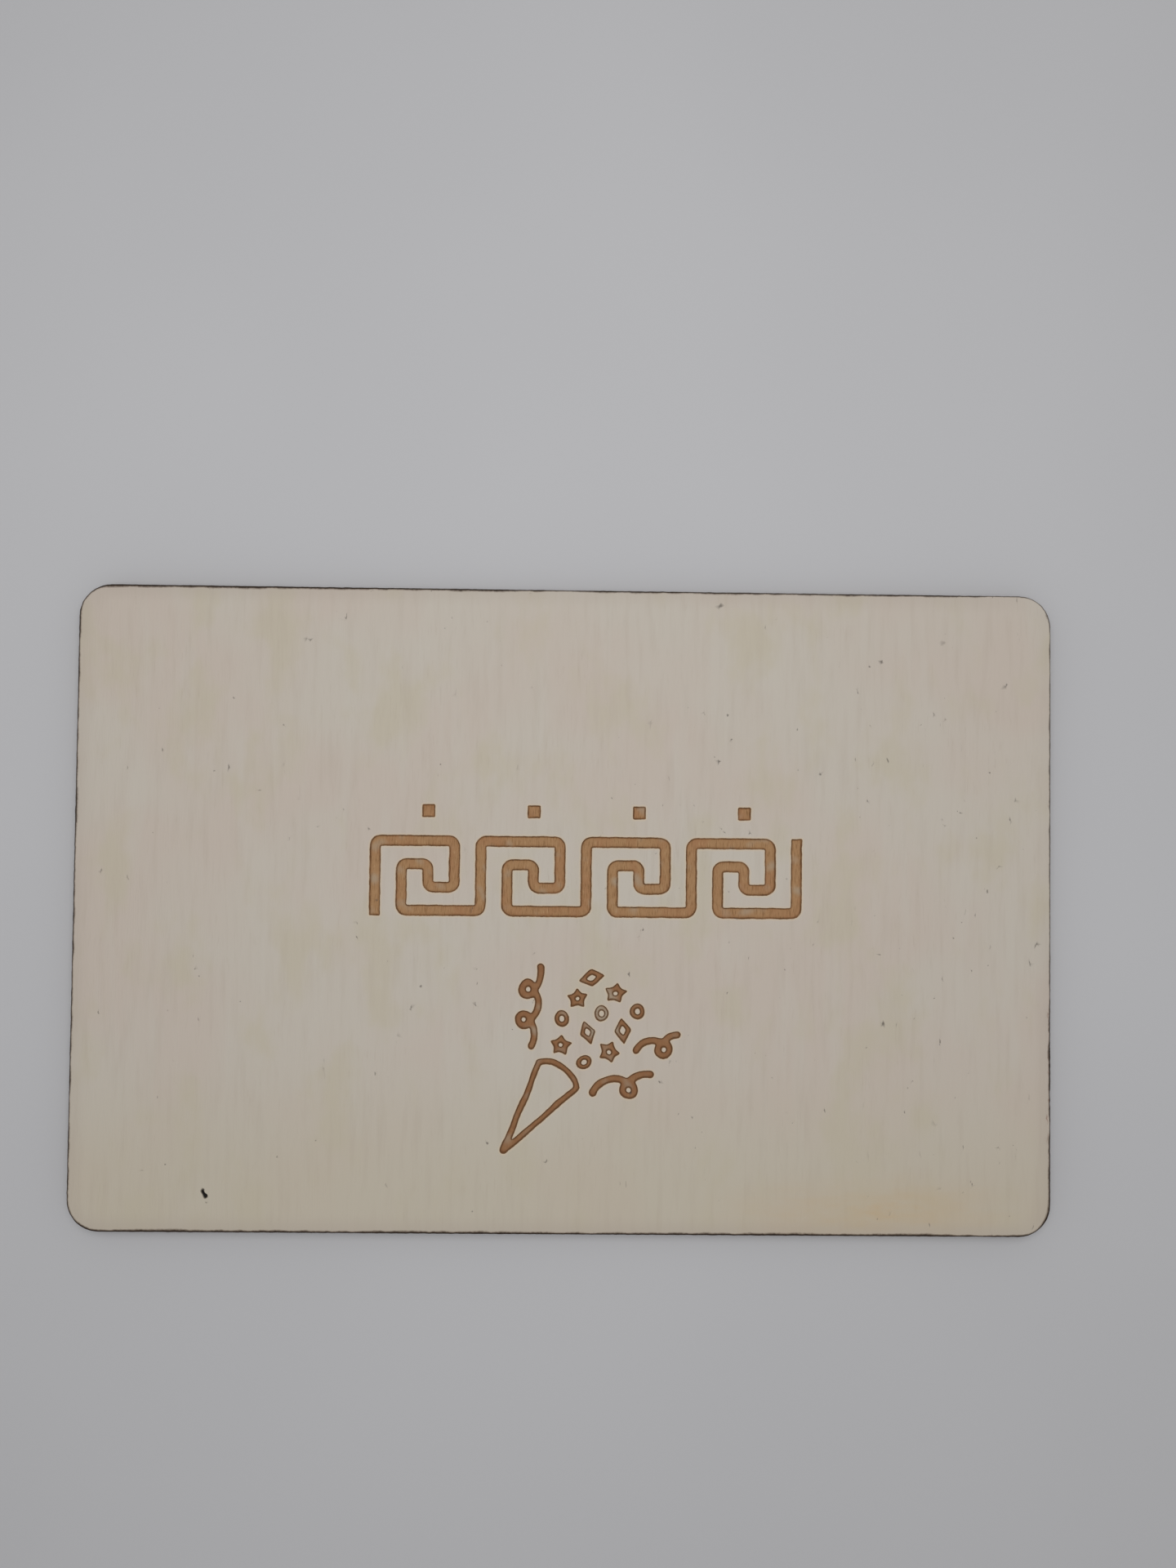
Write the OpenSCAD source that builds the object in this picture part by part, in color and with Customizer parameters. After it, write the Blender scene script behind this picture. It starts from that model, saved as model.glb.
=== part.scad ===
// Laser-cut plywood plaque: three wood veneers bonded by two glue lines, with a motif engraved in the front face.
// The plaque lies on its back. The origin is the middle of the back face, +Z leaves the front face, +X runs along
// the long side and +Y points to the top of the motif.

/* [Plate] */
// Length of the long side, along X
plate_w = 152; // [130:1:220]
// Length of the short side, along Y
plate_h = 100; // [96:1:150]
// Radius of the four corners
corner_r = 5; // [2:0.5:12]

/* [Plywood] */
// Thickness of each of the two face veneers
face_t = 0.9; // [0.7:0.05:1.5]
// Thickness of the core veneer
core_t = 1.0; // [0.6:0.05:2.4]
// Thickness of each cured glue line
glue_t = 0.1; // [0.05:0.01:0.2]

/* [Engraving] */
// Depth of the engraved floors
floor_depth = 0.25; // [0.15:0.05:0.45]
// Extra depth of the burnt outline that runs round every floor
outline_extra = 0.1; // [0.05:0.05:0.2]
// Width of the burnt outline
outline_w = 0.25; // [0.15:0.01:0.26]
// Distance from the middle of the plate right to the middle of the motif
motif_x = 3.3; // [-5:0.1:5]

/* [Key band] */
// Number of repeats in the key band
key_repeats = 4; // [3:1:5]
// Length of the band, over its strokes
band_w = 67.3; // [64.1:0.8:75.3]
// Height of the band, over its strokes
band_h = 12.5; // [11.9:0.3:16.1]
// Height of the band's lower edge above the middle of the plate
band_y = -1.1; // [-3:0.1:2]
// Width of the band's strokes
key_stroke = 1.7; // [1.4:0.3:2]
// Width and height of each stud above the band
stud = 2; // [1:0.1:3]
// Gap between the band and its studs
stud_gap = 2.8; // [1.5:0.1:4]

/* [Party popper] */
// Distance from the middle of the plate down to the dot at the cone's tip
tip_drop = 37; // [36:0.1:42]
// Distance from the middle of the motif left to the dot at the cone's tip
tip_left = 12.2; // [9:0.1:15]
// Angle of the popper's axis above X
popper_tilt = 55; // [45:1:65]
// Radius of the dot at the cone's tip
dot_r = 0.62; // [0.58:0.02:0.7]
// Length of the cone's sides, to the point where they would meet
cone_l = 16.9; // [14:0.1:17.2]
// Angle between the cone's two sides
cone_angle = 28; // [24:1:30]
// Radius of the arc across the cone's mouth, over half of the mouth's width
mouth_ratio = 1.3; // [1.2:0.05:2]
// Width of the cone's strokes
cone_stroke = 0.95; // [0.8:0.05:1.1]
// Width of the confetti's strokes
confetti_stroke = 0.72; // [0.66:0.02:0.8]
// Width of the streamers
streamer_stroke = 1.06; // [0.9:0.02:1.2]

/* [Hidden] */
$fn = 72;

// Heights of the layers' lower faces
back_glue_z = face_t;
core_z = back_glue_z + glue_t;
front_glue_z = core_z + core_t;
front_z = front_glue_z + glue_t;
top_z = front_z + face_t;
// How far a cutter runs past the face that it cuts
over = 1;

// One repeat of the key, in turns on a grid of key_cells columns and key_rows rows
key_cells = 4;
key_rows = 3;
key_turns = [[0, 0], [0, 3], [3, 3], [3, 1], [2, 1], [2, 2], [1, 2], [1, 0]];

// The confetti lies in rows on arcs round the cone's tip, and its shapes take turns
confetti_rows = [2, 3, 3, 3];
confetti_r = 18.2;
row_step = 3.8;
confetti_gap = 4.4;
confetti_turn = 25;
confetti_kinds = 3;
ring_r = 1.18;
star_r = 1.8;
star_notch_r = 1.05;
diamond_w = 2.8;
diamond_h = 4.2;

// A streamer's bends meet in peaks, with a curl on every peak and a bead at both ends; each streamer is
// [distance from the cone's tip, angle to its axis, heading, side of its curls, radius of its bends, sweeps]
curl_r = 0.95;
peak_turn = 90;
bead_ratio = 1.12;
bead_r = bead_ratio * streamer_stroke / 2;
streamers = [
    [16.5, 21, 4, 1, 3.4, [70, 90, 65]],
    [16.2, -22, 12, -1, 3.6, [104, 60]],
    [25.6, -18, 12, -1, 2.6, [100, 60]]
];

// The dot at the cone's tip is a little wider than the cone is there
dot_ratio = 1.15;
dot_x = dot_r / dot_ratio / sin(cone_angle / 2);

function along(from, to) = (to - from) / norm(to - from);
function polar(r, angle) = r * [cos(angle), sin(angle)];

// The plate's outline
module plate_outline() {
    square([plate_w - 2 * corner_r, plate_h], center = true);
    square([plate_w, plate_h - 2 * corner_r], center = true);
    for (x = [-1, 1], y = [-1, 1])
        translate([x * (plate_w / 2 - corner_r), y * (plate_h / 2 - corner_r)])
            circle(corner_r);
}

// A layer of the plywood
module ply(z, thickness) {
    translate([0, 0, z])
        linear_extrude(thickness)
            plate_outline();
}

// A straight bar of width w from a to b, square at its ends
module bar(a, b, w) {
    run = b - a;
    translate(a)
        rotate(atan2(run.y, run.x))
            translate([0, -w / 2])
                square([norm(run), w]);
}

// A ring of centre-line radius r
module ring(r, w) {
    difference() {
        circle(r + w / 2);
        circle(r - w / 2);
    }
}

// The part of a ring that lies between two angles less than 180 degrees apart
module ring_sector(r, from, to, w) {
    reach = 2 * (r + w);
    intersection() {
        ring(r, w);
        polygon([[0, 0], polar(reach, from), polar(2 * reach, (from + to) / 2), polar(reach, to)]);
    }
}

// A polygon whose sides all lie equally far from the origin, with its edges moved inwards by inset
module inset_polygon(points, inset) {
    side_distance = abs(cross(points[0], points[1])) / norm(points[1] - points[0]);
    polygon((1 - inset / side_distance) * points);
}

// A bar of width w through right-angled turns, square at its ends and round at the outside of every turn,
// with all of its edges moved inwards by inset
module turned_bar(points, w, inset) {
    last = len(points) - 1;
    for (i = [0:last - 1]) {
        ahead = along(points[i], points[i + 1]);
        start = i == 0 ? inset - w / 2 : w / 2;
        end = i == last - 1 ? inset - w / 2 : w / 2;
        bar(points[i] + start * ahead, points[i + 1] - end * ahead, w - 2 * inset);
    }
    for (i = [1:last - 1]) {
        outward = along(points[i - 1], points[i]) - along(points[i], points[i + 1]);
        translate(points[i] - outward * w / 2)
            rotate(atan2(outward.y, outward.x) - 45)
                difference() {
                    intersection() {
                        circle(w - inset);
                        square(w);
                    }
                    if (inset > 0) square(inset);
                }
    }
}

// A point of the key's grid
function key_point(column, row) = [
    (column / (key_cells * key_repeats) - 0.5) * (band_w - key_stroke),
    band_y + key_stroke / 2 + row / key_rows * (band_h - key_stroke)
];

// A running key, closed by a post, with a stud above the middle of each repeat
module key_band(inset) {
    turned_bar(
        [
            for (n = [0:key_repeats - 1], turn = key_turns) key_point(n * key_cells + turn.x, turn.y),
            for (row = [0, key_rows]) key_point(key_repeats * key_cells, row)
        ],
        key_stroke,
        inset
    );
    for (n = [0:key_repeats - 1])
        translate([key_point((n + 0.5) * key_cells, 0).x, band_y + band_h + stud_gap + stud / 2])
            square(stud - 2 * inset, center = true);
}

// The area inside the cone's sides and mouth, with its edges moved inwards by inset; its axis is along +X
module cone_area(inset) {
    half_mouth = cone_l * sin(cone_angle / 2);
    mouth_r = mouth_ratio * half_mouth;
    apex = [inset / sin(cone_angle / 2), 0];
    mouth_x = cone_l * cos(cone_angle / 2) - sqrt(mouth_r ^ 2 - half_mouth ^ 2);
    intersection() {
        polygon([apex, apex + polar(2 * cone_l, cone_angle / 2), apex + polar(2 * cone_l, -cone_angle / 2)]);
        union() {
            translate([dot_x, -mouth_r])
                square([mouth_x - dot_x, 2 * mouth_r]);
            translate([mouth_x, 0])
                circle(mouth_r - inset);
        }
    }
}

// The outline of the popper's cone, with the dot at its tip on the origin
module cone(inset) {
    translate([-dot_x, 0])
        difference() {
            cone_area(inset);
            cone_area(cone_stroke - inset);
        }
    circle(dot_r - inset);
}

function star_points() = [for (i = [0:9]) polar(i % 2 == 0 ? star_r : star_notch_r, 36 * i)];
function diamond_points() = [for (i = [0:3]) polar((i % 2 == 0 ? diamond_h : diamond_w) / 2, 90 * i)];

// The area inside one piece of confetti: a ring, a star or a diamond
module confetto_area(kind, inset) {
    if (kind == 0) circle(ring_r - inset);
    if (kind == 1) inset_polygon(star_points(), inset);
    if (kind == 2) inset_polygon(diamond_points(), inset);
}

// The confetti in its rows, with the cone's tip at the origin and its axis along +X
module confetti(inset) {
    for (row = [0:len(confetti_rows) - 1]) {
        r = confetti_r + row * row_step;
        for (i = [0:confetti_rows[row] - 1])
            rotate((i - (confetti_rows[row] - 1) / 2) * confetti_gap / r * 180 / PI)
                translate([r, 0])
                    rotate((row + i) * confetti_turn)
                        difference() {
                            confetto_area((row + i) % confetti_kinds, inset);
                            confetto_area((row + i) % confetti_kinds, confetti_stroke - inset);
                        }
    }
}

// A streamer from the origin along +X, with its bends and curls to the left, from bend number i
module streamer(bend_r, sweeps, inset, i = 0) {
    w = streamer_stroke - 2 * inset;
    if (i == 0) circle(bead_r - inset);
    translate([0, bend_r])
        ring_sector(bend_r, -90, sweeps[i] - 90, w);
    translate(bend_r * [sin(sweeps[i]), 1 - cos(sweeps[i])])
        rotate(sweeps[i])
            if (i < len(sweeps) - 1) {
                translate(polar(curl_r, peak_turn / 2))
                    ring(curl_r, w);
                rotate(-peak_turn)
                    streamer(bend_r, sweeps, inset, i + 1);
            } else
                circle(bead_r - inset);
}

// The popper, with the cone's tip at the origin and its axis along +X
module popper(inset) {
    cone(inset);
    confetti(inset);
    for (s = streamers)
        translate(polar(s[0], s[1]))
            rotate(s[2])
                mirror([0, s[3] < 0 ? 1 : 0])
                    streamer(s[4], s[5], inset);
}

// The engraved motif, with every edge moved inwards by inset
module motif(inset) {
    translate([motif_x, 0]) {
        key_band(inset);
        translate([-tip_left, -tip_drop])
            rotate(popper_tilt)
                popper(inset);
    }
}

// A cutter down to a depth below the front face
module engrave(depth) {
    translate([0, 0, top_z - depth])
        linear_extrude(depth + over)
            children();
}

module front_veneer() {
    color("#d9cdb8")
        difference() {
            ply(front_z, face_t);
            engrave(floor_depth)
                motif(0);
            engrave(floor_depth + outline_extra)
                difference() {
                    motif(0);
                    motif(outline_w);
                }
        }
}

module front_glue_line() {
    color("#5b3a20") ply(front_glue_z, glue_t);
}

module core_veneer() {
    color("#c9b48f") ply(core_z, core_t);
}

module back_glue_line() {
    color("#5b3a20") ply(back_glue_z, glue_t);
}

module back_veneer() {
    color("#d9cdb8") ply(0, face_t);
}

front_veneer();
front_glue_line();
core_veneer();
back_glue_line();
back_veneer();
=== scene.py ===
"""The plywood plaque: three veneers and two glue lines, engraved, scorched and laser-cut, on a pale floor."""

import math

import bpy
import numpy as np
from mathutils.geometry import delaunay_2d_cdt
from mathutils.kdtree import KDTree
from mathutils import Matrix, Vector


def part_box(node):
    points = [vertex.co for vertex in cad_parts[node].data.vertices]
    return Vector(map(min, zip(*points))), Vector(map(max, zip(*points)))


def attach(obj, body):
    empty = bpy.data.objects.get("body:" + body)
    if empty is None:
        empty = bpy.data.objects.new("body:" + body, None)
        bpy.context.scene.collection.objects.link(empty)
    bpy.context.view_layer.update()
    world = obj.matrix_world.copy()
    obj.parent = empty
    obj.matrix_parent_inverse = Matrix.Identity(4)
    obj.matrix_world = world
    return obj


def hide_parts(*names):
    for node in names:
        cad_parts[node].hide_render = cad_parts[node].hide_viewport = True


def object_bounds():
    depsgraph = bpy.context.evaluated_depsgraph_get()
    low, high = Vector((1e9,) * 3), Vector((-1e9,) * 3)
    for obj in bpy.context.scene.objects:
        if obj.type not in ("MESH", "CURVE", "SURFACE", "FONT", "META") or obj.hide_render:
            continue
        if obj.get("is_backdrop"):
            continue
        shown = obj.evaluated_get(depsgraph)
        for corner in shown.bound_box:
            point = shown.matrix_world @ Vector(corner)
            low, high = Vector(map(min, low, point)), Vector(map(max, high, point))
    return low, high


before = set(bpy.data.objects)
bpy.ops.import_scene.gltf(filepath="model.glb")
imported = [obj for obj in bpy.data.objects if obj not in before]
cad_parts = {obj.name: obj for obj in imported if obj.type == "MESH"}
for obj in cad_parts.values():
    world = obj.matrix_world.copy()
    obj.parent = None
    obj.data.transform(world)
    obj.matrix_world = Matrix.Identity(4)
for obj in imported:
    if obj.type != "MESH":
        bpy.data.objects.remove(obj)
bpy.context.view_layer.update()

MM = 0.001  # the code below works in millimetres, and meshes are written in metres
PLATE_LOW, PLATE_HIGH = (np.array(corner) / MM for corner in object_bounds())
WIDE, HIGH, THICK = PLATE_HIGH - PLATE_LOW

# The engraving's profile: distance from its edge (positive on the pale face), and height.
GROOVE_RUN = [-0.30, -0.25, -0.17, 0.0, 0.04, 0.11]
GROOVE_HEIGHT = [-0.24, -0.25, -0.335, -0.04, -0.006, 0.0]
GROOVE_STEP = 0.14  # between points along the engraving's edge
POPPER_TOP = -4  # the band's engraving lies above this height on the face, and the popper's below it
POPPER_DRIFT = 0.13  # how far the popper's outlines wander
OUTLINE_WOBBLE = 0.025
CUT_STEP = 0.23  # between points along the plate's edge

# Rows of mesh points beside an edge, each with its distance to the left and its step in the edge's points.
RIM_ROWS = ((0.1, 1), (0.2, 1), (0.35, 1), (0.6, 2), (1.0, 3))
GROOVE_ROWS = ((0.05, 1), (0.13, 1), (0.32, 2), (0.62, 4), (-0.085, 1), (-0.17, 1), (-0.25, 1))
OPEN_FACE_STEP = (1.15, 1.15)
GROOVE_FLOOR_STEP = (0.21, 0.36)
HIDDEN_STEP = (6, 6)
RIM_CLEAR = 0.06  # loose points stay this far from the plate's edge
OPEN_FACE_CLEAR = 1.35
HIDDEN_CLEAR = 3
GROOVE_CLEAR = 0.5  # and all but the engraving's own stay this far from its edge
FLOOR_CLEAR = 0.31  # the lattice on the engraving's floors starts this far inside its edge
ROW_GAP = 0.07
SPOT_REACH = 1.7  # how far a mark's points reach, in multiples of its size

# How far each layer's cut wall stands in from the CAD outline, and its rows' shares of the layer's height.
PLY_INSET = 0.02
GLUE_INSET = 0.05
WALL_SHARES = (0.84, 0.6, 0.36, 0.14)
CHIPPED_SHARES = (0.56, 0.34, 0.14)
CUT_TAPER = 0.04  # how much further in the wall stands at the front than at the back
RIDGE_DEPTH = 0.014
RIDGE_SLANT = 0.06
SMOOTH_ANGLE = 50  # a sharper turn between two faces is an edge

# Depths of the worn arris and of the marks.
ARRIS_DEPTH = 0.08
FLECK_DEPTH = 0.04
BACK_FLECK_DEPTH = 0.03
SLIVER_DEPTH = 0.12
KNOT_HOLE_DEPTH = 0.4

# Stains at the foot of the front face, each with its centre and its size across and along.
STAIN_WASH = ((48, -46.5), (32, 8))
STAIN_POOL = ((50, -46.2), (14, 3.5))

# Marks in the front veneer, each with its centre, size across and along, tilt in degrees and strength.
KNOT_HOLE = ((-54.95, -44.05), (0.34, 0.78), 36, 1.0)
KNOT_SPECK = ((-54.6, -45.4), (0.13, 0.22), 0, 0.5)
PIN_KNOT = ((58.85, 42.35), (0.45, 0.6), 0, 0.5)
PALE_BURN = ((6.0, -17.0), (3.6, 4.8), -15, 1.2)
NOTED_FLECKS = [
    ((70.7, 49.3), (0.12, 0.5), 0, 0.8),
    ((75.2, 46.8), (0.12, 0.6), 5, 0.7),
    ((60.5, 41.8), (0.14, 2.6), 0, 0.3),
    ((50.3, 23.9), (0.13, 0.35), 15, 0.8),
    ((66.2, 22.2), (0.22, 0.1), -10, 0.9),
    ((59.3, 13.8), (0.35, 0.08), -5, 0.6),
    ((49.8, -17.1), (0.13, 0.5), 6, 0.9),
    ((72.5, -28.6), (0.1, 0.95), 0, 0.45),
    ((57.1, -48.1), (0.11, 0.3), 8, 0.9),
    ((73.2, -48.4), (0.1, 0.45), -8, 0.7),
]
SLIVERS = [
    ((75.72, -23.6), (0.12, 1.9), 1, 0.8),
    ((75.8, -28.4), (0.2, 1.3), -3, 1.0),
    ((75.86, -19.0), (0.12, 6.0), 0, 0.7),
    ((75.45, -31.6), (0.11, 1.0), 6, 0.7),
    ((75.55, -34.6), (0.1, 0.9), -3, 0.6),
    ((75.5, -15.6), (0.1, 0.7), 0, 0.5),
    ((75.6, 17.0), (0.1, 0.4), 0, 0.4),
]
LIFTED_FIBRES = [
    ((75.5, -24.6), (0.1, 1.5), 0, 1.0),
    ((75.6, -32.4), (0.1, 1.2), 4, 1.0),
]


# ------------------------------------------------------------------ numbers


def ripple(points, grain, seed, waves=14):
    """Smooth noise of about -1 to 1 at points in millimetres; grain is its bump length along each axis."""
    rng = np.random.default_rng(seed)
    aim = rng.normal(size=(waves, points.shape[1]))
    aim /= np.linalg.norm(aim, axis=1)[:, None]
    waves_per_mm = aim * rng.uniform(0.5, 1.3, (waves, 1)) / np.array(grain)
    phase = rng.uniform(0, 2 * math.pi, waves)
    return np.sin(points @ (math.pi * waves_per_mm.T) + phase).sum(1) * math.sqrt(2 / waves) / 1.6


def smoothstep(low, high, value):
    """0 at low, 1 at high and a smooth climb between them."""
    t = np.clip((value - low) / (high - low), 0, 1)
    return t * t * (3 - 2 * t)


def turned(points, degrees):
    """Points turned anticlockwise about the origin."""
    c, s = math.cos(math.radians(degrees)), math.sin(math.radians(degrees))
    return points @ np.array([[c, s], [-s, c]])


def spot(points, centre, size, tilt, strength):
    """A soft oval mark: its strength at the centre, fading to about a third at its size along each axis."""
    away = turned(points - centre, -tilt) / size
    return strength * np.exp(-(away ** 2).sum(1))


def strongest(points, spots):
    """The strongest of a list of spots at each point."""
    return np.max([spot(points, *each) for each in spots], axis=0)


# ------------------------------------------------------------------ outlines


def face_outlines(node):
    """The closed outlines of a CAD node's top face, widest first, each with the face on its left."""
    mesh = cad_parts[node].data
    mesh.calc_loop_triangles()
    corners = np.array([vertex.co for vertex in mesh.vertices]) / MM
    triangles = np.array([triangle.vertices for triangle in mesh.loop_triangles])
    top = corners[:, 2].max() - 0.01
    triangles = triangles[corners[triangles][:, :, 2].min(1) > top]
    merged, same = np.unique(corners.round(3), axis=0, return_inverse=True)
    triangles = same.ravel()[triangles]
    edges = np.vstack([triangles[:, [0, 1]], triangles[:, [1, 2]], triangles[:, [2, 0]]]).tolist()
    known = {tuple(edge) for edge in edges}
    following = {a: b for a, b in edges if (b, a) not in known}
    outlines = []
    while following:
        start = min(following)
        loop = [start]
        at = following.pop(start)
        while at != start:
            loop.append(at)
            at = following.pop(at)
        outlines.append(merged[loop][:, :2])
    return sorted(outlines, key=lambda loop: -np.ptp(loop[:, 0]))


def evenly(loop, step):
    """A closed loop's points, spaced evenly along it."""
    closed = np.vstack([loop, loop[:1]])
    run = np.concatenate([[0], np.cumsum(np.linalg.norm(np.diff(closed, axis=0), axis=1))])
    stops = np.linspace(0, run[-1], max(10, round(run[-1] / step)), endpoint=False)
    return np.column_stack([np.interp(stops, run, closed[:, axis]) for axis in (0, 1)])


def rounded(loop, passes):
    """A closed loop with its corners worn off by averaging neighbours."""
    for _ in range(passes):
        loop = 0.5 * loop + 0.25 * (np.roll(loop, 1, 0) + np.roll(loop, -1, 0))
    return loop


def left_of(loop):
    """Unit vectors to the left of a closed loop's direction."""
    ahead = np.roll(loop, -1, 0) - np.roll(loop, 1, 0)
    ahead /= np.linalg.norm(ahead, axis=1)[:, None]
    return np.column_stack([-ahead[:, 1], ahead[:, 0]])


def burnt_outline(loop):
    """An engraved outline as the laser leaves it: the band's is crisp, the popper's is worn and uneven."""
    loop = rounded(loop, 2 if loop[:, 1].mean() > POPPER_TOP else 6)
    drift = np.column_stack([ripple(loop, (3, 3), 22), ripple(loop, (3, 3), 23)])
    loop = loop + POPPER_DRIFT * smoothstep(POPPER_TOP + 1, POPPER_TOP - 1, loop[:, 1])[:, None] * drift
    return loop + left_of(loop) * OUTLINE_WOBBLE * ripple(loop, (1.0, 1.0), 21)[:, None]


class Edge:
    """Signed distance to a set of closed loops, positive on their left."""

    def __init__(self, loops):
        self.points = np.vstack(loops)
        self.left = np.vstack([left_of(loop) for loop in loops])
        self.sides = [np.vstack([np.roll(loop, way, 0) for loop in loops]) - self.points for way in (1, -1)]
        self.tree = KDTree(len(self.points))
        for i, (x, y) in enumerate(self.points.tolist()):
            self.tree.insert((x, y, 0), i)
        self.tree.balance()

    def distance(self, points):
        """The signed distance of every point."""
        nearest = np.array([self.tree.find((x, y, 0))[1] for x, y in points.tolist()])
        away = points - self.points[nearest]
        best = away
        for side in self.sides:
            segment = side[nearest]
            share = np.clip((away * segment).sum(1) / (segment * segment).sum(1), 0, 1)
            other = away - segment * share[:, None]
            closer = np.linalg.norm(other, axis=1) < np.linalg.norm(best, axis=1)
            best = np.where(closer[:, None], other, best)
        sign = np.where((away * self.left[nearest]).sum(1) < 0, -1, 1)
        return np.linalg.norm(best, axis=1) * sign


plate_outline, *motif = face_outlines("front_veneer")
plate_outline = evenly(plate_outline, CUT_STEP)
motif = [burnt_outline(evenly(loop, GROOVE_STEP)) for loop in motif]
motif_edge = Edge(motif)
MOTIF_LOW, MOTIF_HIGH = motif_edge.points.min(0), motif_edge.points.max(0)


# ------------------------------------------------------------------ loose points


def lattice(low, high, step, jitter, seed):
    """Staggered points over a rectangle, each moved a little at random."""
    rng = np.random.default_rng(seed)
    grid = np.stack(np.meshgrid(np.arange(low[0], high[0], step[0]), np.arange(low[1], high[1], step[1])), -1)
    grid[1::2, :, 0] += step[0] / 2
    grid = grid.reshape(-1, 2)
    return grid + rng.uniform(-jitter, jitter, grid.shape) * step


def thinned(points, gap):
    """Points with at most one left in each square of side gap."""
    cells = np.floor(points / gap).astype(int)
    keep = np.unique(cells, axis=0, return_index=True)[1]
    return points[np.sort(keep)]


def beside(loops, gap, every):
    """Points at a distance gap to the left of loops, one for every so many of theirs."""
    return np.vstack([(loop + left_of(loop) * gap)[::every] for loop in loops])


def spot_points(spots, across, along, reach=SPOT_REACH):
    """A small lattice over each spot, so that it keeps its shape in the mesh."""
    u, v = np.meshgrid(np.linspace(-reach, reach, across), np.linspace(-reach, reach, along))
    local = np.column_stack([u.ravel(), v.ravel()])
    return np.vstack([turned(local * size, tilt) + centre for centre, size, tilt, _ in spots])


def flecks(count, size, lean, strength, seed):
    """Seeded flecks over a face, denser to the right, as tuples of centre, size, tilt and strength."""
    rng = np.random.default_rng(seed)
    x = (rng.uniform(0, 1, count) ** 0.7 - 0.5) * 0.97 * WIDE
    y = rng.uniform(-0.48, 0.48, count) * HIGH
    wide = size[0] * rng.uniform(0.7, 1.2, count)
    long = size[1] * rng.uniform(0.4, 1.2, count)
    tilt = rng.normal(0, lean, count)
    depth = strength * rng.uniform(0.4, 1.0, count)
    return [((a, b), (c, d), e, f) for a, b, c, d, e, f in zip(x, y, wide, long, tilt, depth)]


def veneer_flecks(seed):
    """The dots, ticks and long faint fibres of one veneer face."""
    dots = flecks(130, (0.13, 0.2), 40, 0.85, seed)
    ticks = flecks(80, (0.1, 0.5), 10, 0.85, seed + 1)
    fibres = flecks(60, (0.1, 1.7), 3, 0.4, seed + 2)
    return dots + ticks + fibres


def arris_nicks():
    """Small nicks beside the char line, most of them along the foot from its middle to its right."""
    rng = np.random.default_rng(71)
    foot = [(rng.uniform(-0.1, 0.46) * WIDE, -0.5 * HIGH + rng.uniform(0.25, 0.5)) for _ in range(30)]
    head = [(rng.uniform(-0.45, 0.45) * WIDE, 0.5 * HIGH - rng.uniform(0.25, 0.6)) for _ in range(14)]
    return [(place, rng.uniform(0.06, 0.16, 2), 0, rng.uniform(0.5, 0.9)) for place in foot + head]


# ------------------------------------------------------------------ skins and walls


def skin(outline, loops, loose):
    """Triangles that fill an outline through loops and loose points; the outline's points come first."""
    points = np.vstack([outline, *loops, loose])
    lines = []
    first = 0
    for loop in (outline, *loops):
        count = len(loop)
        lines += [(first + i, first + (i + 1) % count) for i in range(count)]
        first += count
    spots, _, triangles, origin, _, _ = delaunay_2d_cdt(points.tolist(), lines, [], 1, 1e-5)
    where = {start: i for i, starts in enumerate(origin) for start in starts}
    order = [where[i] for i in range(len(outline))]
    order += sorted(set(range(len(spots))) - set(order))
    place = np.empty(len(order), int)
    place[order] = np.arange(len(order))
    return np.array([tuple(spots[i]) for i in order]), place[np.array(triangles)]


def blank_marks(count, wall):
    """The marks of points with no engraving or defect, on a cut wall (1) or a face (0)."""
    zero = np.zeros(count)
    return {"cut": zero + 2, "rim": zero, "char": zero, "burn": zero + 1, "wall": zero + wall, "dark": zero,
            "rust": zero, "faint": zero}


def cut_line(z, inset):
    """The laser-cut wall's line at height z: fine slanting ridges, and the cut's slight taper."""
    turn = np.arange(len(plate_outline)) / len(plate_outline) * 2 * math.pi
    radius = len(plate_outline) * CUT_STEP / (2 * math.pi)
    run = radius * np.column_stack([np.cos(turn), np.sin(turn)]) + RIDGE_SLANT * z
    ridges = 1 + ripple(run, (0.5, 0.5), 11) + 0.6 * ripple(run, (3, 3), 12)
    taper = CUT_TAPER * (z - PLATE_LOW[2]) / THICK
    return plate_outline + left_of(plate_outline) * (inset + taper + RIDGE_DEPTH * ridges)[:, None]


def wall_row(z, inset):
    """One row of points along the cut wall, with its marks."""
    line = cut_line(z, inset)
    return np.column_stack([line, np.full(len(line), z)]), blank_marks(len(line), 1)


def hidden_skin(z, inset):
    """A flat skin inside the plywood, where nothing shows."""
    line = cut_line(z, inset)
    loose = lattice(PLATE_LOW, PLATE_HIGH, HIDDEN_STEP, 0.1, 51)
    loose = loose[Edge([line]).distance(loose) > HIDDEN_CLEAR]
    points, triangles = skin(line, [], loose)
    return np.column_stack([points, np.full(len(points), z)]), triangles, blank_marks(len(points), 1)


def burn_strength(points):
    """How strong the char is: most along the foot and the left of the head, least high on the right."""
    x, y = (points / (WIDE, HIGH)).T
    foot = smoothstep(0.44, 0.49, -y)
    head = smoothstep(0.44, 0.49, y)
    lower_right = smoothstep(0.46, 0.49, x) * smoothstep(0.0, -0.2, y)
    strength = 0.7 - 0.3 * smoothstep(0.4, 0.5, x) + 0.4 * lower_right
    strength += 0.45 * foot + head * (0.02 + 0.3 * smoothstep(0.0, -0.35, x))
    strength *= 1 - 0.35 * smoothstep(0.465, 0.49, np.abs(x)) * (foot + head)
    return np.clip(strength + 0.1 * ripple(points, (2.5, 2.5), 34), 0.25, 1)


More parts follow.
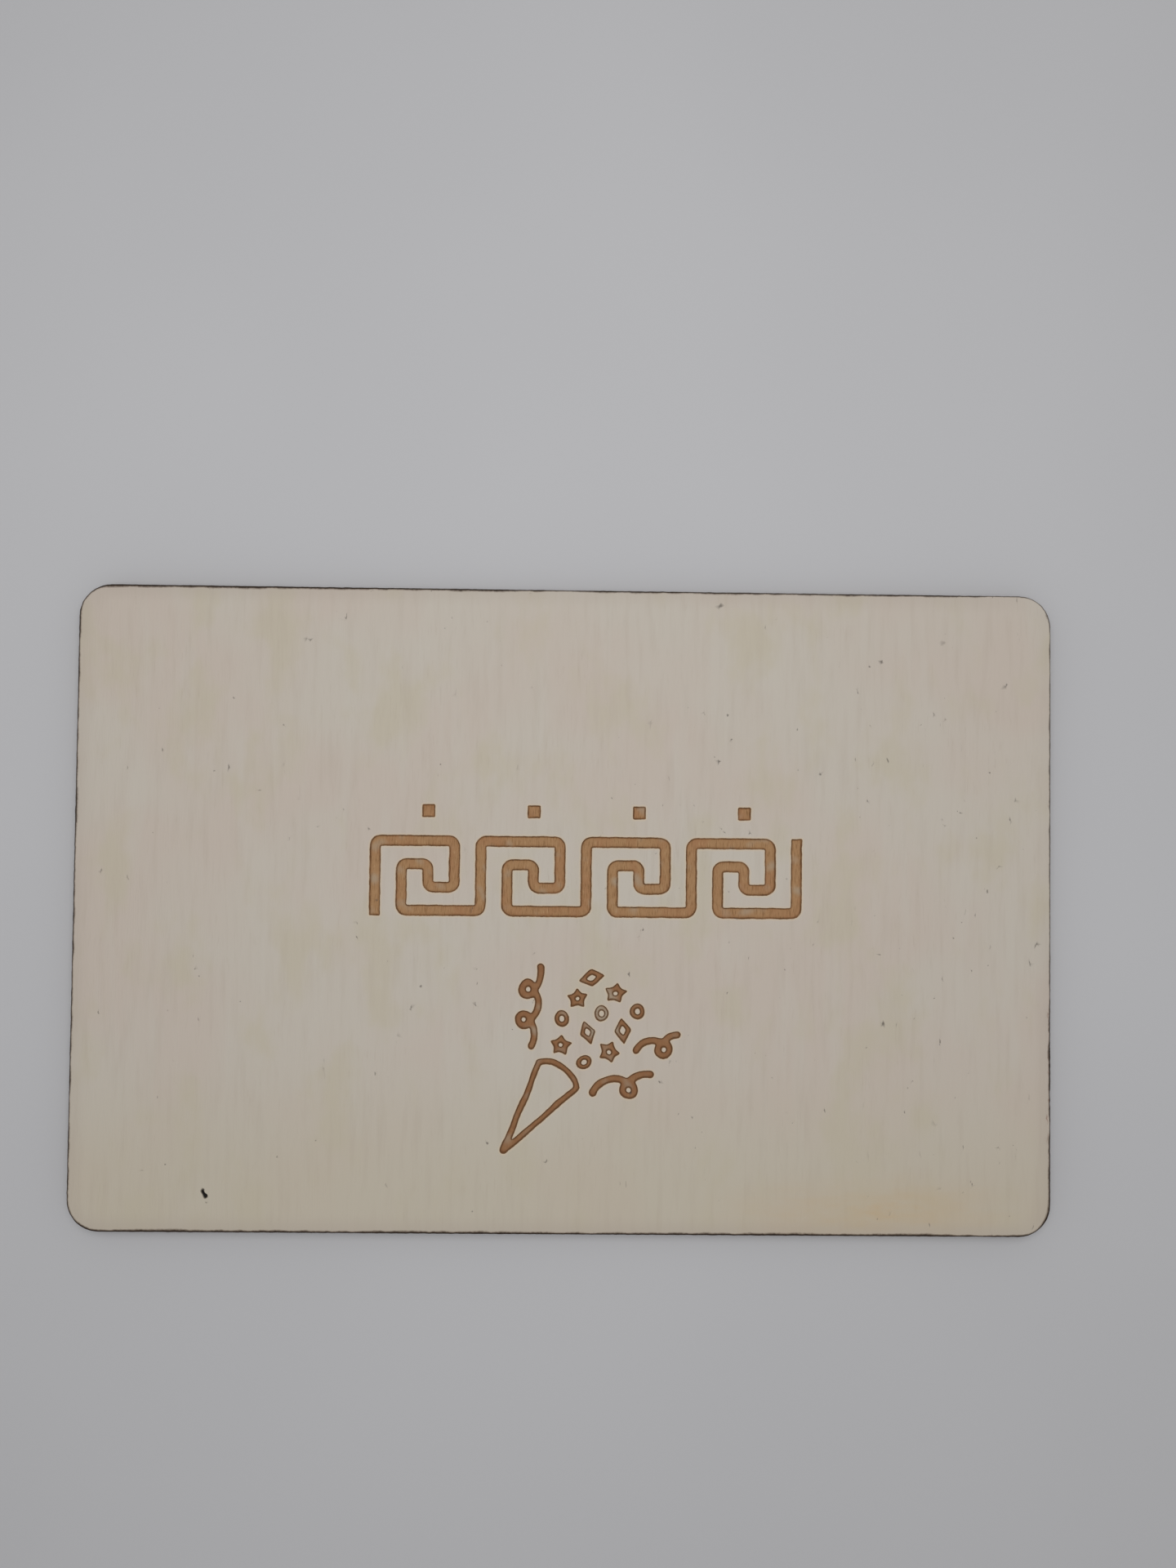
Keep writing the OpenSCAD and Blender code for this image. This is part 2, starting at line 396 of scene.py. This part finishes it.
def char_width(points, burn):
    """How wide the burnt arris is."""
    width = 0.11 + 0.18 * burn
    width *= 1 + 0.14 * ripple(points, (1.5, 1.5), 31) + 0.2 * ripple(points, (9, 9), 32)
    return np.clip(width, 0.09, 0.6)


def arris(points, rim, width):
    """The height of the burnt, slightly worn arris at a distance rim from the cut."""
    depth = ARRIS_DEPTH + 0.03 * ripple(points, (0.8, 0.8), 33)
    return -depth * (1 - smoothstep(-0.3, 1.0, rim / width))


def arris_points(outline, rims):
    """Rows of points that follow the plate's edge, and a coarse lattice over the rest of the face."""
    rows = [beside([outline], gap, every) for gap, every in RIM_ROWS]
    open_face = lattice(PLATE_LOW, PLATE_HIGH, OPEN_FACE_STEP, 0.2, 52)
    return np.vstack([*rows, open_face[rims.distance(open_face) > OPEN_FACE_CLEAR]])


def groove_points():
    """Rows of points on both sides of the engraving's edge, and a fine lattice over its floors."""
    blocks = []
    for gap, every in GROOVE_ROWS:
        row = beside(motif, gap, every)
        row = row[np.abs(motif_edge.distance(row)) > 0.93 * abs(gap)]
        blocks.append(thinned(row, ROW_GAP))
    floors = lattice(MOTIF_LOW, MOTIF_HIGH, GROOVE_FLOOR_STEP, 0.2, 53)
    blocks.append(floors[motif_edge.distance(floors) < -FLOOR_CLEAR])
    return np.vstack(blocks)


def rim_distances(points, line, rims):
    """Each point's distance in from the cut line, exactly 0 on the line itself."""
    rim = np.clip(rims.distance(points), 0, 20)
    rim[:len(line)] = 0
    return rim


def back_skin(z, inset):
    """The back veneer's outer skin: plain veneer with flecks and a burnt arris."""
    line = cut_line(z, inset)
    rims = Edge([line])
    specks = veneer_flecks(61)
    loose = np.vstack([arris_points(line, rims), spot_points(specks, 5, 7)])
    points, triangles = skin(line, [], loose[rims.distance(loose) > RIM_CLEAR])
    rim = rim_distances(points, line, rims)
    burn = burn_strength(points)
    width = 1.4 * char_width(points, burn)
    dark = strongest(points, specks)
    height = arris(points, rim, width) - BACK_FLECK_DEPTH * dark
    marks = blank_marks(len(points), 0)
    marks.update(rim=rim, char=np.clip(rim / width, 0, 9), burn=burn, dark=dark)
    return np.column_stack([points, z - height]), triangles, marks


def front_skin(z, inset):
    """The front veneer's outer skin: engraving, flecks, knots, and a burnt and splintered arris."""
    line = cut_line(z, inset)
    rims = Edge([line])
    specks = veneer_flecks(64) + NOTED_FLECKS + arris_nicks()
    splinters = SLIVERS + LIFTED_FIBRES
    loose = [arris_points(line, rims), spot_points(specks, 5, 7), spot_points(splinters, 5, 13)]
    loose += [spot_points([KNOT_HOLE, KNOT_SPECK], 21, 27, 2.2), spot_points([PIN_KNOT], 17, 17, 2.0)]
    loose = np.vstack(loose)
    loose = loose[motif_edge.distance(loose) > GROOVE_CLEAR]
    loose = np.vstack([loose[rims.distance(loose) > RIM_CLEAR], groove_points()])
    points, triangles = skin(line, motif, loose)
    rim = rim_distances(points, line, rims)
    cut = motif_edge.distance(points)
    burn = burn_strength(points)
    width = char_width(points, burn)
    ragged = points + 0.13 * np.column_stack([ripple(points, (0.5, 0.5), 44), ripple(points, (0.5, 0.5), 45)])
    hole = smoothstep(0.2, 0.7, strongest(ragged, [KNOT_HOLE]))
    knot = spot(ragged, *PIN_KNOT) * (0.75 + 0.25 * ripple(points, (0.4, 0.4), 46))
    rust = strongest(ragged, SLIVERS)
    lifted = strongest(points, LIFTED_FIBRES)
    faint = spot(points, *PALE_BURN) + 0.5 * ripple(points, (1.5, 1.5), 42) - 0.25
    faint = np.clip(faint, 0, 1)
    # The knot hole counts 1.6 times in the dark mark, so the material paints its pit nearly black as shade.
    dark = np.max([strongest(ragged, specks + [KNOT_SPECK]), 1.6 * hole, knot], axis=0)
    grain = smoothstep(-0.2, -0.32, cut) * (0.02 * ripple(points, (0.2, 2.2), 43) + 0.09 * faint)
    height = arris(points, rim, width) * (1 - 0.7 * lifted)
    height = height - SLIVER_DEPTH * rust - FLECK_DEPTH * dark - KNOT_HOLE_DEPTH * hole
    height += np.interp(cut, GROOVE_RUN, GROOVE_HEIGHT) + grain
    marks = {"cut": np.clip(cut, -2, 2), "rim": rim, "char": np.clip((rim + 0.3 * lifted) / width, 0, 9),
             "burn": burn, "wall": np.zeros(len(points)), "dark": dark, "rust": rust, "faint": faint}
    return np.column_stack([points, z + height]), triangles, marks


def closed_mesh(name, top, rows, foot):
    """A closed mesh from a top skin, wall rows going down and a bottom skin, with their marks."""
    count = len(plate_outline)
    blocks = [top[0], *(spots for spots, _ in rows), foot[0]]
    marks = [top[2], *(mark for _, mark in rows), foot[2]]
    starts = np.concatenate([[0], np.cumsum([len(block) for block in blocks[:-1]])])
    ring = np.arange(count)
    after = np.roll(ring, -1)
    faces = top[1].tolist()
    for upper, lower in zip(starts[:-1], starts[1:]):
        faces += np.column_stack([upper + ring, lower + ring, lower + after, upper + after]).tolist()
    faces += (foot[1][:, ::-1] + starts[-1]).tolist()
    mesh = bpy.data.meshes.new(name)
    mesh.from_pydata((np.vstack(blocks) * MM).tolist(), [], faces)
    for key in blank_marks(1, 0):
        layer = mesh.attributes.new(key, "FLOAT", "POINT")
        layer.data.foreach_set("value", np.concatenate([mark[key] for mark in marks]).astype(np.float32))
    mesh.shade_smooth()
    mesh.set_sharp_from_angle(angle=math.radians(SMOOTH_ANGLE))
    return mesh


# ------------------------------------------------------------------ materials


class Graph:
    """One material's nodes. A value is a number, a colour or another node's output."""

    def __init__(self, name):
        self.material = bpy.data.materials.new(name)
        self.material.use_nodes = True
        self.nodes = self.material.node_tree.nodes
        self.links = self.material.node_tree.links
        self.shader = self.nodes["Principled BSDF"]
        object_place = self.nodes.new("ShaderNodeTexCoord").outputs["Object"]
        self.place = self.node("VectorMath", {0: object_place, 1: (1 / MM,) * 3}, operation="MULTIPLY")
        self.height_on_face = self.node("SeparateXYZ", {0: self.place}, 1)

    def node(self, kind, values, output=0, **settings):
        """One of the outputs of a new node with these inputs and settings."""
        node = self.nodes.new("ShaderNode" + kind)
        for key, value in settings.items():
            setattr(node, key, value)
        for key, value in values.items():
            self.feed(node.inputs[key], value)
        return node.outputs[output]

    def feed(self, socket, value):
        """Links an output to a socket, or sets the socket to a value."""
        if isinstance(value, bpy.types.NodeSocket):
            self.links.new(value, socket)
        else:
            socket.default_value = value

    def mark(self, name):
        """One of the mesh's marks."""
        return self.node("Attribute", {}, "Fac", attribute_name=name)

    def math(self, operation, a, b):
        """Two numbers combined."""
        return self.node("Math", {0: a, 1: b}, operation=operation)

    def noise(self, grain, detail=3.0, seed=0.0):
        """Noise of 0 to 1 whose bumps are grain millimetres long on each axis."""
        bumps_per_mm = tuple(1 / size for size in grain)
        scaled = self.node("VectorMath", {0: self.place, 1: bumps_per_mm}, operation="MULTIPLY")
        moved = self.node("VectorMath", {0: scaled, 1: (seed, seed * 0.7, seed * 1.3)}, operation="ADD")
        values = {"Vector": moved, "Scale": 1.0, "Detail": detail, "Roughness": 0.55}
        return self.node("TexNoise", values, "Fac")

    def climb(self, value, low, high, bottom=0.0, top=1.0):
        """A smooth climb from bottom, at low, to top, at high."""
        values = {"Value": value, "From Min": low, "From Max": high, "To Min": bottom, "To Max": top}
        return self.node("MapRange", values, interpolation_type="SMOOTHSTEP")

    def blend(self, share, a, b):
        """A colour between two others."""
        return self.node("Mix", {0: share, 6: a, 7: b}, 2, data_type="RGBA")

    def between(self, share, a, b):
        """A number between two others."""
        return self.node("Mix", {0: share, 2: a, 3: b}, 0, data_type="FLOAT")

    def soft_spot(self, centre, size):
        """A soft oval of 0 to 1 round a place on the face."""
        away = self.node("VectorMath", {0: self.place, 1: (*centre, 0)}, operation="SUBTRACT")
        scaled = self.node("VectorMath", {0: away, 1: (1 / size[0], 1 / size[1], 0)}, operation="MULTIPLY")
        far = self.node("VectorMath", {0: scaled}, "Value", operation="LENGTH")
        return self.climb(far, 1.0, 0.0)

    def bump(self, height, depth):
        """A normal from a height of 0 to 1 that stands for depth millimetres."""
        return self.node("Bump", {"Height": height, "Distance": depth * MM, "Strength": 1.0}, "Normal")

    def finish(self, colour, roughness, normal):
        """The finished material."""
        self.feed(self.shader.inputs["Base Color"], colour)
        self.feed(self.shader.inputs["Roughness"], roughness)
        self.feed(self.shader.inputs["Normal"], normal)
        self.shader.inputs["Specular IOR Level"].default_value = 0.3
        return self.material


def tone(red, green, blue):
    """An opaque colour."""
    return (red, green, blue, 1.0)


PALE_WOOD = tone(0.76, 0.69, 0.598)
PINK_WOOD = tone(0.76, 0.662, 0.572)
YELLOW_WOOD = tone(0.725, 0.65, 0.505)
GREY_WOOD = tone(0.775, 0.72, 0.63)
STAIN = tone(0.75, 0.58, 0.37)
FIBRE = tone(0.55, 0.46, 0.36)
FLECK = tone(0.10, 0.085, 0.07)
# Nearly black: painted shade in the knot hole's pit.
KNOT_HOLE_SHADE = tone(0.012, 0.009, 0.007)
ENGRAVED = tone(0.53, 0.305, 0.148)
ENGRAVED_DARK = tone(0.33, 0.17, 0.07)
ENGRAVED_LIGHT = tone(0.66, 0.42, 0.22)
ENGRAVED_RED = tone(0.50, 0.25, 0.12)
ENGRAVED_DEEP = tone(0.37, 0.175, 0.08)
ENGRAVED_FAINT = tone(0.56, 0.46, 0.34)
OUTLINE_BURN = tone(0.22, 0.11, 0.045)
HALO = tone(0.86, 0.71, 0.53)
SCORCH = tone(0.62, 0.53, 0.45)
CHAR = tone(0.045, 0.028, 0.018)
CHAR_BROWN = tone(0.13, 0.07, 0.038)
CHAR_LIGHT = tone(0.26, 0.15, 0.08)
CHAR_GREY = tone(0.16, 0.135, 0.115)
RUST = tone(0.36, 0.17, 0.11)
GLUE_DARK = tone(0.02, 0.012, 0.008)
GLUE_LIGHT = tone(0.06, 0.03, 0.015)
PAPER = tone(0.75, 0.75, 0.77)
PAPER_SHADE = tone(0.735, 0.735, 0.755)
WHITE = tone(1.0, 1.0, 1.0)


def pale_veneer(graph, seed):
    """Pale wood with upright fibre: pink, yellow and grey clouds, and streaks that come and go."""
    clouds = graph.noise((30, 24, 30), 2, seed)
    patches = graph.noise((8, 13, 10), 3, seed + 3)
    bands = graph.noise((4, 30, 10), 2, seed + 9)
    colour = graph.blend(graph.climb(clouds, 0.38, 0.62), PALE_WOOD, PINK_WOOD)
    colour = graph.blend(graph.climb(bands, 0.48, 0.72, 0, 0.35), colour, GREY_WOOD)
    colour = graph.blend(graph.climb(patches, 0.48, 0.7, 0, 0.7), colour, YELLOW_WOOD)
    foot = graph.climb(graph.height_on_face, -20, -44, 0, 0.6)
    colour = graph.blend(foot, colour, YELLOW_WOOD)
    broad = graph.noise((1.1, 11, 10), 3, seed + 5)
    fine = graph.noise((0.3, 3.5, 3), 4, seed + 7)
    zones = graph.climb(graph.noise((7, 12, 10), 2, seed + 11), 0.42, 0.65)
    colour = graph.blend(graph.climb(broad, 0.45, 0.8, 0, 0.16), colour, FIBRE)
    streaks = graph.math("MULTIPLY", graph.climb(fine, 0.55, 0.8, 0, 0.24), zones)
    return graph.blend(streaks, colour, FIBRE), fine


def burnt_edge(graph, colour):
    """The scorched arris over a face's colour: a warm glow, then a thin char line."""
    burn = graph.mark("burn")
    soot = graph.math("MULTIPLY", graph.climb(graph.mark("rim"), 3.2, 0.0, 0, 0.45), burn)
    colour = graph.blend(soot, colour, SCORCH)
    wave = graph.climb(graph.noise((0.5, 0.5, 0.5), 2, 4), 0.3, 0.7, -0.1, 0.1)
    wavy = graph.math("ADD", graph.mark("char"), wave)
    shoulder = graph.math("MULTIPLY", graph.climb(wavy, 1.7, 0.9, 0, 0.7), burn)
    colour = graph.blend(shoulder, colour, CHAR_BROWN)
    line = graph.blend(graph.climb(burn, 0.4, 0.9), CHAR_GREY, CHAR)
    return graph.blend(graph.climb(wavy, 1.1, 0.6), colour, line)


def cut_wall(graph, seed, dark, light):
    """The laser-cut wall's colour: char with browner ridges and soot clouds."""
    ridges = graph.noise((0.3, 0.3, 6), 3, seed)
    clouds = graph.noise((5, 5, 2), 2, seed + 2)
    colour = graph.blend(graph.climb(ridges, 0.35, 0.7), dark, light)
    colour = graph.blend(graph.climb(clouds, 0.35, 0.7, 0, 0.6), colour, dark)
    return colour, ridges


def engraving(graph, colour):
    """The engraving over a face's colour: warm halo, dark outline, and brown floors, deeper in the popper."""
    wobble = graph.climb(graph.noise((0.4, 0.7, 1), 2, 2), 0.3, 0.7, -0.025, 0.025)
    cut = graph.math("ADD", graph.mark("cut"), wobble)
    faint = graph.mark("faint")
    grain = graph.noise((0.13, 1.3, 1), 3, 8)
    tint = graph.noise((3, 5, 1), 2, 12)
    floor = graph.blend(graph.climb(tint, 0.4, 0.7, 0, 0.7), ENGRAVED, ENGRAVED_RED)
    popper = graph.climb(graph.height_on_face, POPPER_TOP + 1, POPPER_TOP - 1)
    floor = graph.blend(graph.climb(grain, 0.5, 0.7, 0, 0.85), floor, ENGRAVED_DARK)
    floor = graph.blend(graph.climb(grain, 0.42, 0.25, 0, 0.8), floor, ENGRAVED_LIGHT)
    mottle = graph.climb(graph.noise((1.5, 1.5, 1), 2, 18), 0.3, 0.7, 0.65, 1.0)
    deep = graph.math("MULTIPLY", popper, mottle)
    floor = graph.blend(deep, floor, ENGRAVED_DEEP)
    floor = graph.blend(graph.math("MULTIPLY", faint, 0.9), floor, ENGRAVED_FAINT)
    colour = graph.blend(graph.climb(cut, 0.4, 0.05, 0, 0.7), colour, HALO)
    colour = graph.blend(graph.climb(cut, 0.04, -0.04), colour, floor)
    line = graph.math("MULTIPLY", graph.climb(cut, 0.05, -0.03), graph.climb(cut, -0.26, -0.12))
    patchy = graph.climb(graph.noise((1.2, 1.2, 1), 2, 6), 0.3, 0.65, 0.45, 0.95)
    strength = graph.math("MAXIMUM", patchy, graph.math("MULTIPLY", popper, 0.85))
    return graph.blend(graph.math("MULTIPLY", line, strength), colour, OUTLINE_BURN), cut


def face_material(name, seed, engraved):
    """A face veneer: pale wood, its defects, the engraving on the front, the burnt arris and cut walls."""
    graph = Graph(name)
    colour, fibre = pale_veneer(graph, seed)
    dark = graph.mark("dark")
    roughness = graph.climb(fibre, 0.3, 0.8, 0.55, 0.7)
    if engraved:
        wash = graph.math("MULTIPLY", graph.soft_spot(*STAIN_WASH), graph.noise((6, 2, 1), 2, 15))
        pool = graph.math("MULTIPLY", graph.soft_spot(*STAIN_POOL), graph.noise((3, 1.5, 1), 2, 16))
        colour = graph.blend(graph.math("MAXIMUM", wash, graph.math("MULTIPLY", pool, 1.3)), colour, STAIN)
        colour, cut = engraving(graph, colour)
        roughness = graph.between(graph.climb(cut, 0.05, -0.05), roughness, 0.85)
    colour = graph.blend(graph.climb(dark, 0.1, 0.75, 0, 0.75), colour, FLECK)
    # Where the dark mark passes 0.85, chiefly in the knot hole, painted shade turns the colour nearly black.
    colour = graph.blend(graph.climb(dark, 0.85, 1.3), colour, KNOT_HOLE_SHADE)
    colour = graph.blend(graph.climb(graph.mark("rust"), 0.15, 0.7, 0, 0.85), colour, RUST)
    colour = burnt_edge(graph, colour)
    wall_colour, ridges = cut_wall(graph, seed, CHAR, CHAR_BROWN)
    wall = graph.climb(graph.mark("wall"), 0.2, 0.7)
    colour = graph.blend(wall, colour, wall_colour)
    roughness = graph.between(wall, roughness, 0.8)
    return graph.finish(colour, roughness, graph.bump(graph.between(wall, fibre, ridges), 0.03))


def core_material():
    """The core ply: cross-grained, browner where its end grain meets the cut."""
    graph = Graph("core_wood")
    colour, ridges = cut_wall(graph, 21, CHAR_BROWN, CHAR_LIGHT)
    pores = graph.noise((0.35, 0.15, 0.12), 3, 24)
    colour = graph.blend(graph.climb(pores, 0.5, 0.7, 0, 0.6), colour, CHAR)
    roughness = graph.climb(ridges, 0.3, 0.7, 0.6, 0.85)
    return graph.finish(colour, roughness, graph.bump(ridges, 0.04))


def glue_material():
    """A glue line: dark, slightly glossy resin baked by the laser."""
    graph = Graph("baked_glue")
    beads = graph.noise((0.4, 0.4, 0.4), 3, 31)
    colour = graph.blend(graph.climb(beads, 0.4, 0.7), GLUE_DARK, GLUE_LIGHT)
    return graph.finish(colour, graph.climb(beads, 0.3, 0.7, 0.35, 0.6), graph.bump(beads, 0.03))


# ------------------------------------------------------------------ the pieces


def heights(node):
    """A CAD node's lowest and highest z, in millimetres."""
    low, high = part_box(node)
    return low.z / MM, high.z / MM


def add_piece(name, node, mesh, material):
    """One layer in the scene, standing for its CAD node."""
    mesh.materials.append(material)
    piece = bpy.data.objects.new(name, mesh)
    bpy.context.collection.objects.link(piece)
    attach(piece, "root")
    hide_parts(node)


def inner_layer(name, node, material, inset, shares):
    """A layer between the faces: flat skins and a cut wall."""
    low, high = heights(node)
    rows = [wall_row(low + (high - low) * share, inset) for share in shares]
    mesh = closed_mesh(name, hidden_skin(high, inset), rows, hidden_skin(low, inset))
    add_piece(name, node, mesh, material)


def front_ply():
    """The front veneer, whose worn arris leaves room for three wall rows."""
    low, high = heights("front_veneer")
    rows = [wall_row(low + (high - low) * share, PLY_INSET) for share in CHIPPED_SHARES]
    mesh = closed_mesh("front_face", front_skin(high, PLY_INSET), rows, hidden_skin(low, PLY_INSET))
    add_piece("front_face", "front_veneer", mesh, face_material("front_wood", 0, True))


def back_ply():
    """The back veneer."""
    low, high = heights("back_veneer")
    rows = [wall_row(low + (high - low) * share, PLY_INSET) for share in WALL_SHARES]
    mesh = closed_mesh("back_face", hidden_skin(high, PLY_INSET), rows, back_skin(low, PLY_INSET))
    add_piece("back_face", "back_veneer", mesh, face_material("back_wood", 40, False))


front_ply()
back_ply()
inner_layer("core_layer", "core_veneer", core_material(), PLY_INSET, WALL_SHARES)
baked_glue = glue_material()
inner_layer("front_glue", "front_glue_line", baked_glue, GLUE_INSET, (0.5,))
inner_layer("back_glue", "back_glue_line", baked_glue, GLUE_INSET, (0.5,))


# ------------------------------------------------------------------ floor, light and camera

FLOOR_HALF = 1500
OVERHEAD_LIGHT = 0.26
HORIZON_LIGHT = 0.45
HORIZON_TOP = 0.6  # how high in the sky the horizon's light ends: 0 is level and 1 is overhead
KEY_PLACE = (0, 65, 300)
KEY_SIZE = 260
KEY_POWER = 0.35
CAMERA_PLACE = (0.82, 14.71, 186.72)
CAMERA_TURN = (1.526, -0.830, 0.622)
CAMERA_LENS = 27.075
SENSOR_WIDTH = 36
NEAREST_SEEN = 10


def paper_material():
    """A matt white sheet with a faint tooth."""
    graph = Graph("white_sheet")
    tooth = graph.noise((0.5, 0.5, 0.5), 3, 41)
    clouds = graph.noise((60, 60, 60), 1, 42)
    colour = graph.blend(graph.climb(clouds, 0.3, 0.7), PAPER, PAPER_SHADE)
    return graph.finish(colour, 0.8, graph.bump(tooth, 0.01))


def add_floor():
    """The plain pale floor, level with the plaque's underside."""
    half = FLOOR_HALF * MM
    mesh = bpy.data.meshes.new("floor")
    corners = [(-half, -half, 0), (half, -half, 0), (half, half, 0), (-half, half, 0)]
    mesh.from_pydata(corners, [], [(0, 1, 2, 3)])
    mesh.materials.append(paper_material())
    floor = bpy.data.objects.new("floor", mesh)
    floor.location.z = PLATE_LOW[2] * MM
    bpy.context.collection.objects.link(floor)
    floor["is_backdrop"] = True


def add_key_light():
    """A soft round light that points down from above the plaque's head."""
    light = bpy.data.lights.new("key", "AREA")
    light.shape = "DISK"
    light.size = KEY_SIZE * MM
    light.energy = KEY_POWER
    lamp = bpy.data.objects.new("key", light)
    lamp.location = [way * MM for way in KEY_PLACE]
    lamp.visible_camera = False
    bpy.context.collection.objects.link(lamp)


def add_world():
    """Soft white light from all round, brighter near the horizon."""
    world = bpy.data.worlds.new("studio")
    world.use_nodes = True
    nodes = world.node_tree.nodes
    links = world.node_tree.links
    place = nodes.new("ShaderNodeTexCoord")
    split = nodes.new("ShaderNodeSeparateXYZ")
    fade = nodes.new("ShaderNodeMapRange")
    fade.interpolation_type = "SMOOTHSTEP"
    fade.inputs["From Max"].default_value = HORIZON_TOP
    fade.inputs["To Min"].default_value = HORIZON_LIGHT
    fade.inputs["To Max"].default_value = OVERHEAD_LIGHT
    links.new(place.outputs["Generated"], split.inputs[0])
    links.new(split.outputs["Z"], fade.inputs["Value"])
    links.new(fade.outputs[0], nodes["Background"].inputs["Strength"])
    nodes["Background"].inputs["Color"].default_value = WHITE
    bpy.context.scene.world = world


def add_camera():
    """Above the plaque and a little towards its head, as the photograph was taken."""
    data = bpy.data.cameras.new("camera")
    data.lens = CAMERA_LENS
    data.sensor_width = SENSOR_WIDTH
    data.clip_start = NEAREST_SEEN * MM
    camera = bpy.data.objects.new("camera", data)
    camera.location = [way * MM for way in CAMERA_PLACE]
    camera.rotation_euler = [math.radians(angle) for angle in CAMERA_TURN]
    bpy.context.collection.objects.link(camera)
    bpy.context.scene.camera = camera


add_floor()
add_world()
add_key_light()
add_camera()
bpy.context.scene.view_settings.view_transform = "Standard"
